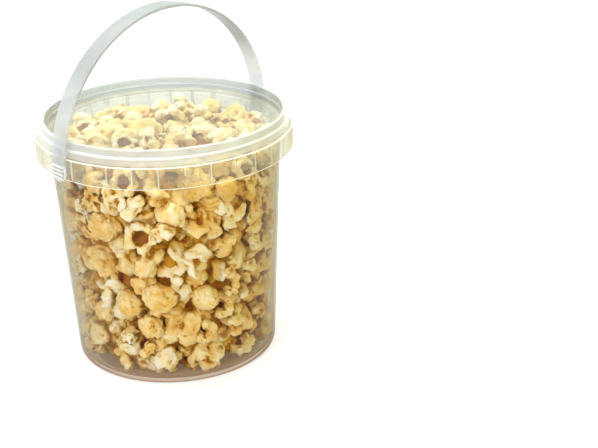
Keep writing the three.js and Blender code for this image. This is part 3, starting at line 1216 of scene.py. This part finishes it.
def shelter(points, normals, own, centres, radii):
    """How far each point of a flake is closed in by the flakes round it, from 0 to 1."""
    near = np.linalg.norm(centres - centres[own], axis=1) < 1.8 * (radii + radii[own])
    near[own] = False
    left = np.ones(len(points))
    for j in np.flatnonzero(near):
        apart = centres[j] - points
        reach = 0.9 * radii[j]
        far = np.maximum(np.linalg.norm(apart, axis=1), reach)
        lean = (apart * normals).sum(1) / far
        left *= 1 - 0.9 * rise(lean, -0.25, 1.25) * (reach / far) ** 2
    return 1 - left


def array_mesh(name, points, triangles, values):
    mesh = bpy.data.meshes.new(name)
    mesh.vertices.add(len(points))
    mesh.vertices.foreach_set("co", points.astype(np.float32).ravel())
    mesh.loops.add(triangles.size)
    mesh.loops.foreach_set("vertex_index", triangles.astype(np.int32).ravel())
    mesh.polygons.add(len(triangles))
    mesh.polygons.foreach_set("loop_start", np.arange(0, triangles.size, 3, dtype=np.int32))
    mesh.polygons.foreach_set("use_smooth", np.ones(len(triangles), dtype=bool))
    mesh.update(calc_edges=True)
    store(mesh, values)
    piece = bpy.data.objects.new(name, mesh)
    bpy.context.scene.collection.objects.link(piece)
    return piece


def popcorn_material():
    looks = bpy.context.scene.popcorn_looks
    material, tree = blank_material("popped_corn")
    place = node(tree, "TexCoord").outputs["Object"]
    values = node(tree, "Attribute", attribute_name="flake").outputs["Color"]
    parts = node(tree, "SeparateColor", {0: values}).outputs
    crease, hull, tone = parts[0], parts[1], parts[2]
    toast = plus(tree, scaled(tree, noise(tree, place, 150.0, 3.0), 1.3, -0.65), tone, True)
    shade = ramp(tree, toast, (
        (0.0, looks.paper), (0.25, looks.white), (0.6, looks.cream), (1.0, looks.gold),
    ))
    # Painted shade: the colour darkens towards the crease colour in creases, between flakes and deep in
    # the heap.
    painted_crease_shade = ramp(tree, crease, [(at, [c**at for c in looks.crease]) for at in (0.0, 0.5, 1.0)])
    shade = blend(tree, 1.0, shade, painted_crease_shade, "MULTIPLY")
    paler = [1.9 * c for c in looks.hull]
    shell = blend(tree, noise(tree, place, 900.0, 3.0), looks.hull, paler)
    shade = blend(tree, hull, shade, shell)
    rough = node(tree, "MapRange", {
        "Value": hull, "From Min": 0.0, "From Max": 1.0, "To Min": 0.68, "To Max": 0.35,
    }).outputs[0]
    wrinkle = noise(tree, place, 480.0, 6.0, Roughness=0.62, Distortion=1.2)
    surface = node(tree, "BsdfPrincipled", {
        "Base Color": shade, "Roughness": rough, "Normal": bumped(tree, wrinkle, 0.6, 1.1 * MM),
        "Specular IOR Level": 0.12, "Subsurface Weight": 0.12,
        "Subsurface Radius": (0.9, 0.55, 0.25), "Subsurface Scale": 0.002,
    })
    node(tree, "OutputMaterial", {"Surface": surface.outputs[0]})
    return material


class BUCKET_OT_core(bpy.types.Operator):
    """Inner heap that shows only between the flakes"""

    bl_idname = "popcorn_bucket.core"
    bl_label = "Heap core"

    def execute(self, context):
        low, high = 5, 111
        core = turn("popcorn_core", [
            (0, low, 0), (wall_mm(low) - 9, low, 2), (wall_mm(low + 5) - 6.5, low + 5, 3),
            (wall_mm(high) - 8, high - 3, 2), (wall_mm(high) - 11, high, 2), (0, high, 0),
        ], 96)
        skin(core, 2 * MM)
        swell(core, True, 0.012, 1, 0.009, 0.7)
        swell(core, False, 0.005, 1, 0.002, 0.5)
        apply_all(core)
        smooth(core, 80)
        points = read(core.data.vertices, "co", 3) / MM
        values = np.ones((len(points), 4))
        # Painted shade: the core darkens with depth from the wall and the lid.
        values[:, 0] = np.clip((depth_of(points) - 1) / 9, 0.55, 1)
        values[:, 1] = 0
        values[:, 2] = 0.5
        store(core.data, values)
        give(core, popcorn_material(), "tub", "popcorn", "popcorn")
        return {"FINISHED"}


class BUCKET_OT_popcorn(bpy.types.Operator):
    """Popped flakes of seven kinds, packed against the wall, floor and lid"""

    bl_idname = "popcorn_bucket.popcorn"
    bl_label = "Popcorn"

    def execute(self, context):
        material = bpy.data.materials.get("popped_corn") or popcorn_material()
        rows = packed_flakes()
        centres = np.array([row[2] for row in rows])
        radii = np.array([row[1] for row in rows])
        draw = generator(TURN_SEED)
        for kind in KINDS:
            forms = [flake_form(kind, v) for v in range(VARIANTS)]
            points, triangles, values = [], [], []
            start = 0
            for i, (own, r, centre, layer, toast) in enumerate(rows):
                if own != kind:
                    continue
                form, faces, crease, hull = forms[i % VARIANTS]
                turned = self.turned(centre, layer, draw)
                stretch = np.array([1.02 + 0.16 * next(draw) for _ in range(3)])
                if kind == "wing" or layer in ("wall", "top", "placed_top"):
                    stretch *= 1.12
                made = held_inside(drawn_in((form * stretch * r) @ turned.T + centre))
                # Painted shade: points closed in by neighbouring flakes, deep in the heap or in creases
                # get a darker value.
                closed = shelter(made, corner_normals(made, faces), i, centres, radii)
                deep = np.maximum(rise(closed, 0.45, 0.5), rise(depth_of(made), 4, 12))
                tips = np.linalg.norm(form, axis=1) - 0.7
                paler = (0 if kind == "ball" else 0.45) * tips
                flake = np.ones((len(made), 4))
                flake[:, 0] = np.maximum(np.clip(crease * 9, 0, 1), deep)
                flake[:, 1] = hull
                flake[:, 2] = np.clip(toast - paler, 0, 1)
                points.append(made * MM)
                triangles.append(faces + start)
                values.append(flake)
                start += len(made)
            piece = array_mesh(
                "popcorn_" + kind, np.vstack(points), np.vstack(triangles), np.vstack(values)
            )
            give(piece, material, "tub", "popcorn", "popcorn")
        return {"FINISHED"}

    def turned(self, centre, layer, draw):
        """Rotation of a flake: it faces out from the heap, a filling one more loosely."""
        loose = 0.5 if layer.startswith("placed") else 1.6
        spin = 2 * math.pi * next(draw)
        tilt = (next(draw) - 0.5) * loose
        nod = (next(draw) - 0.5) * loose
        face = {
            "top": Vector((0, 0, 1)),
            "placed_top": Vector((0, 0, 1)),
            "floor": Vector((0, 0, -1)),
        }.get(layer, Vector((centre[0], centre[1], 0)))
        base = face.to_track_quat("Z", "Y").to_matrix()
        own = Matrix.Rotation(tilt, 3, "X") @ Matrix.Rotation(nod, 3, "Y") @ Matrix.Rotation(spin, 3, "Z")
        return np.array(base @ own)


class BUCKET_PT_panel(bpy.types.Panel):
    """Lists the pieces of the bucket of popcorn"""

    bl_idname = "BUCKET_PT_panel"
    bl_label = "Popcorn bucket"
    bl_space_type = "VIEW_3D"
    bl_region_type = "UI"
    bl_category = "Popcorn bucket"

    def draw(self, context):
        for step in STEPS:
            self.layout.operator(step.bl_idname)
        for group in GROUPS:
            box = self.layout.box()
            settings = getattr(context.scene, group)
            for key in settings.__annotations__:
                box.prop(settings, key)


GROUPS = {
    "bucket_sizes": BucketSizes,
    "plastic_looks": PlasticLooks,
    "popcorn_looks": PopcornLooks,
    "stage_looks": StageLooks,
}
STEPS = (
    BUCKET_OT_stage,
    BUCKET_OT_core,
    BUCKET_OT_popcorn,
    BUCKET_OT_tub,
    BUCKET_OT_lid,
    BUCKET_OT_handle,
)


def register():
    for group in GROUPS.values():
        bpy.utils.register_class(group)
    for name, group in GROUPS.items():
        setattr(bpy.types.Scene, name, PointerProperty(type=group))
    for step in (*STEPS, BUCKET_PT_panel):
        bpy.utils.register_class(step)


def unregister():
    for step in reversed((*STEPS, BUCKET_PT_panel)):
        bpy.utils.unregister_class(step)
    for name, group in GROUPS.items():
        delattr(bpy.types.Scene, name)
        bpy.utils.unregister_class(group)


def main():
    register()
    bpy.ops.popcorn_bucket.stage()
    bpy.ops.popcorn_bucket.core()
    bpy.ops.popcorn_bucket.popcorn()
    bpy.ops.popcorn_bucket.tub()
    bpy.ops.popcorn_bucket.lid()
    bpy.ops.popcorn_bucket.handle()


if __name__ == "__main__":
    main()
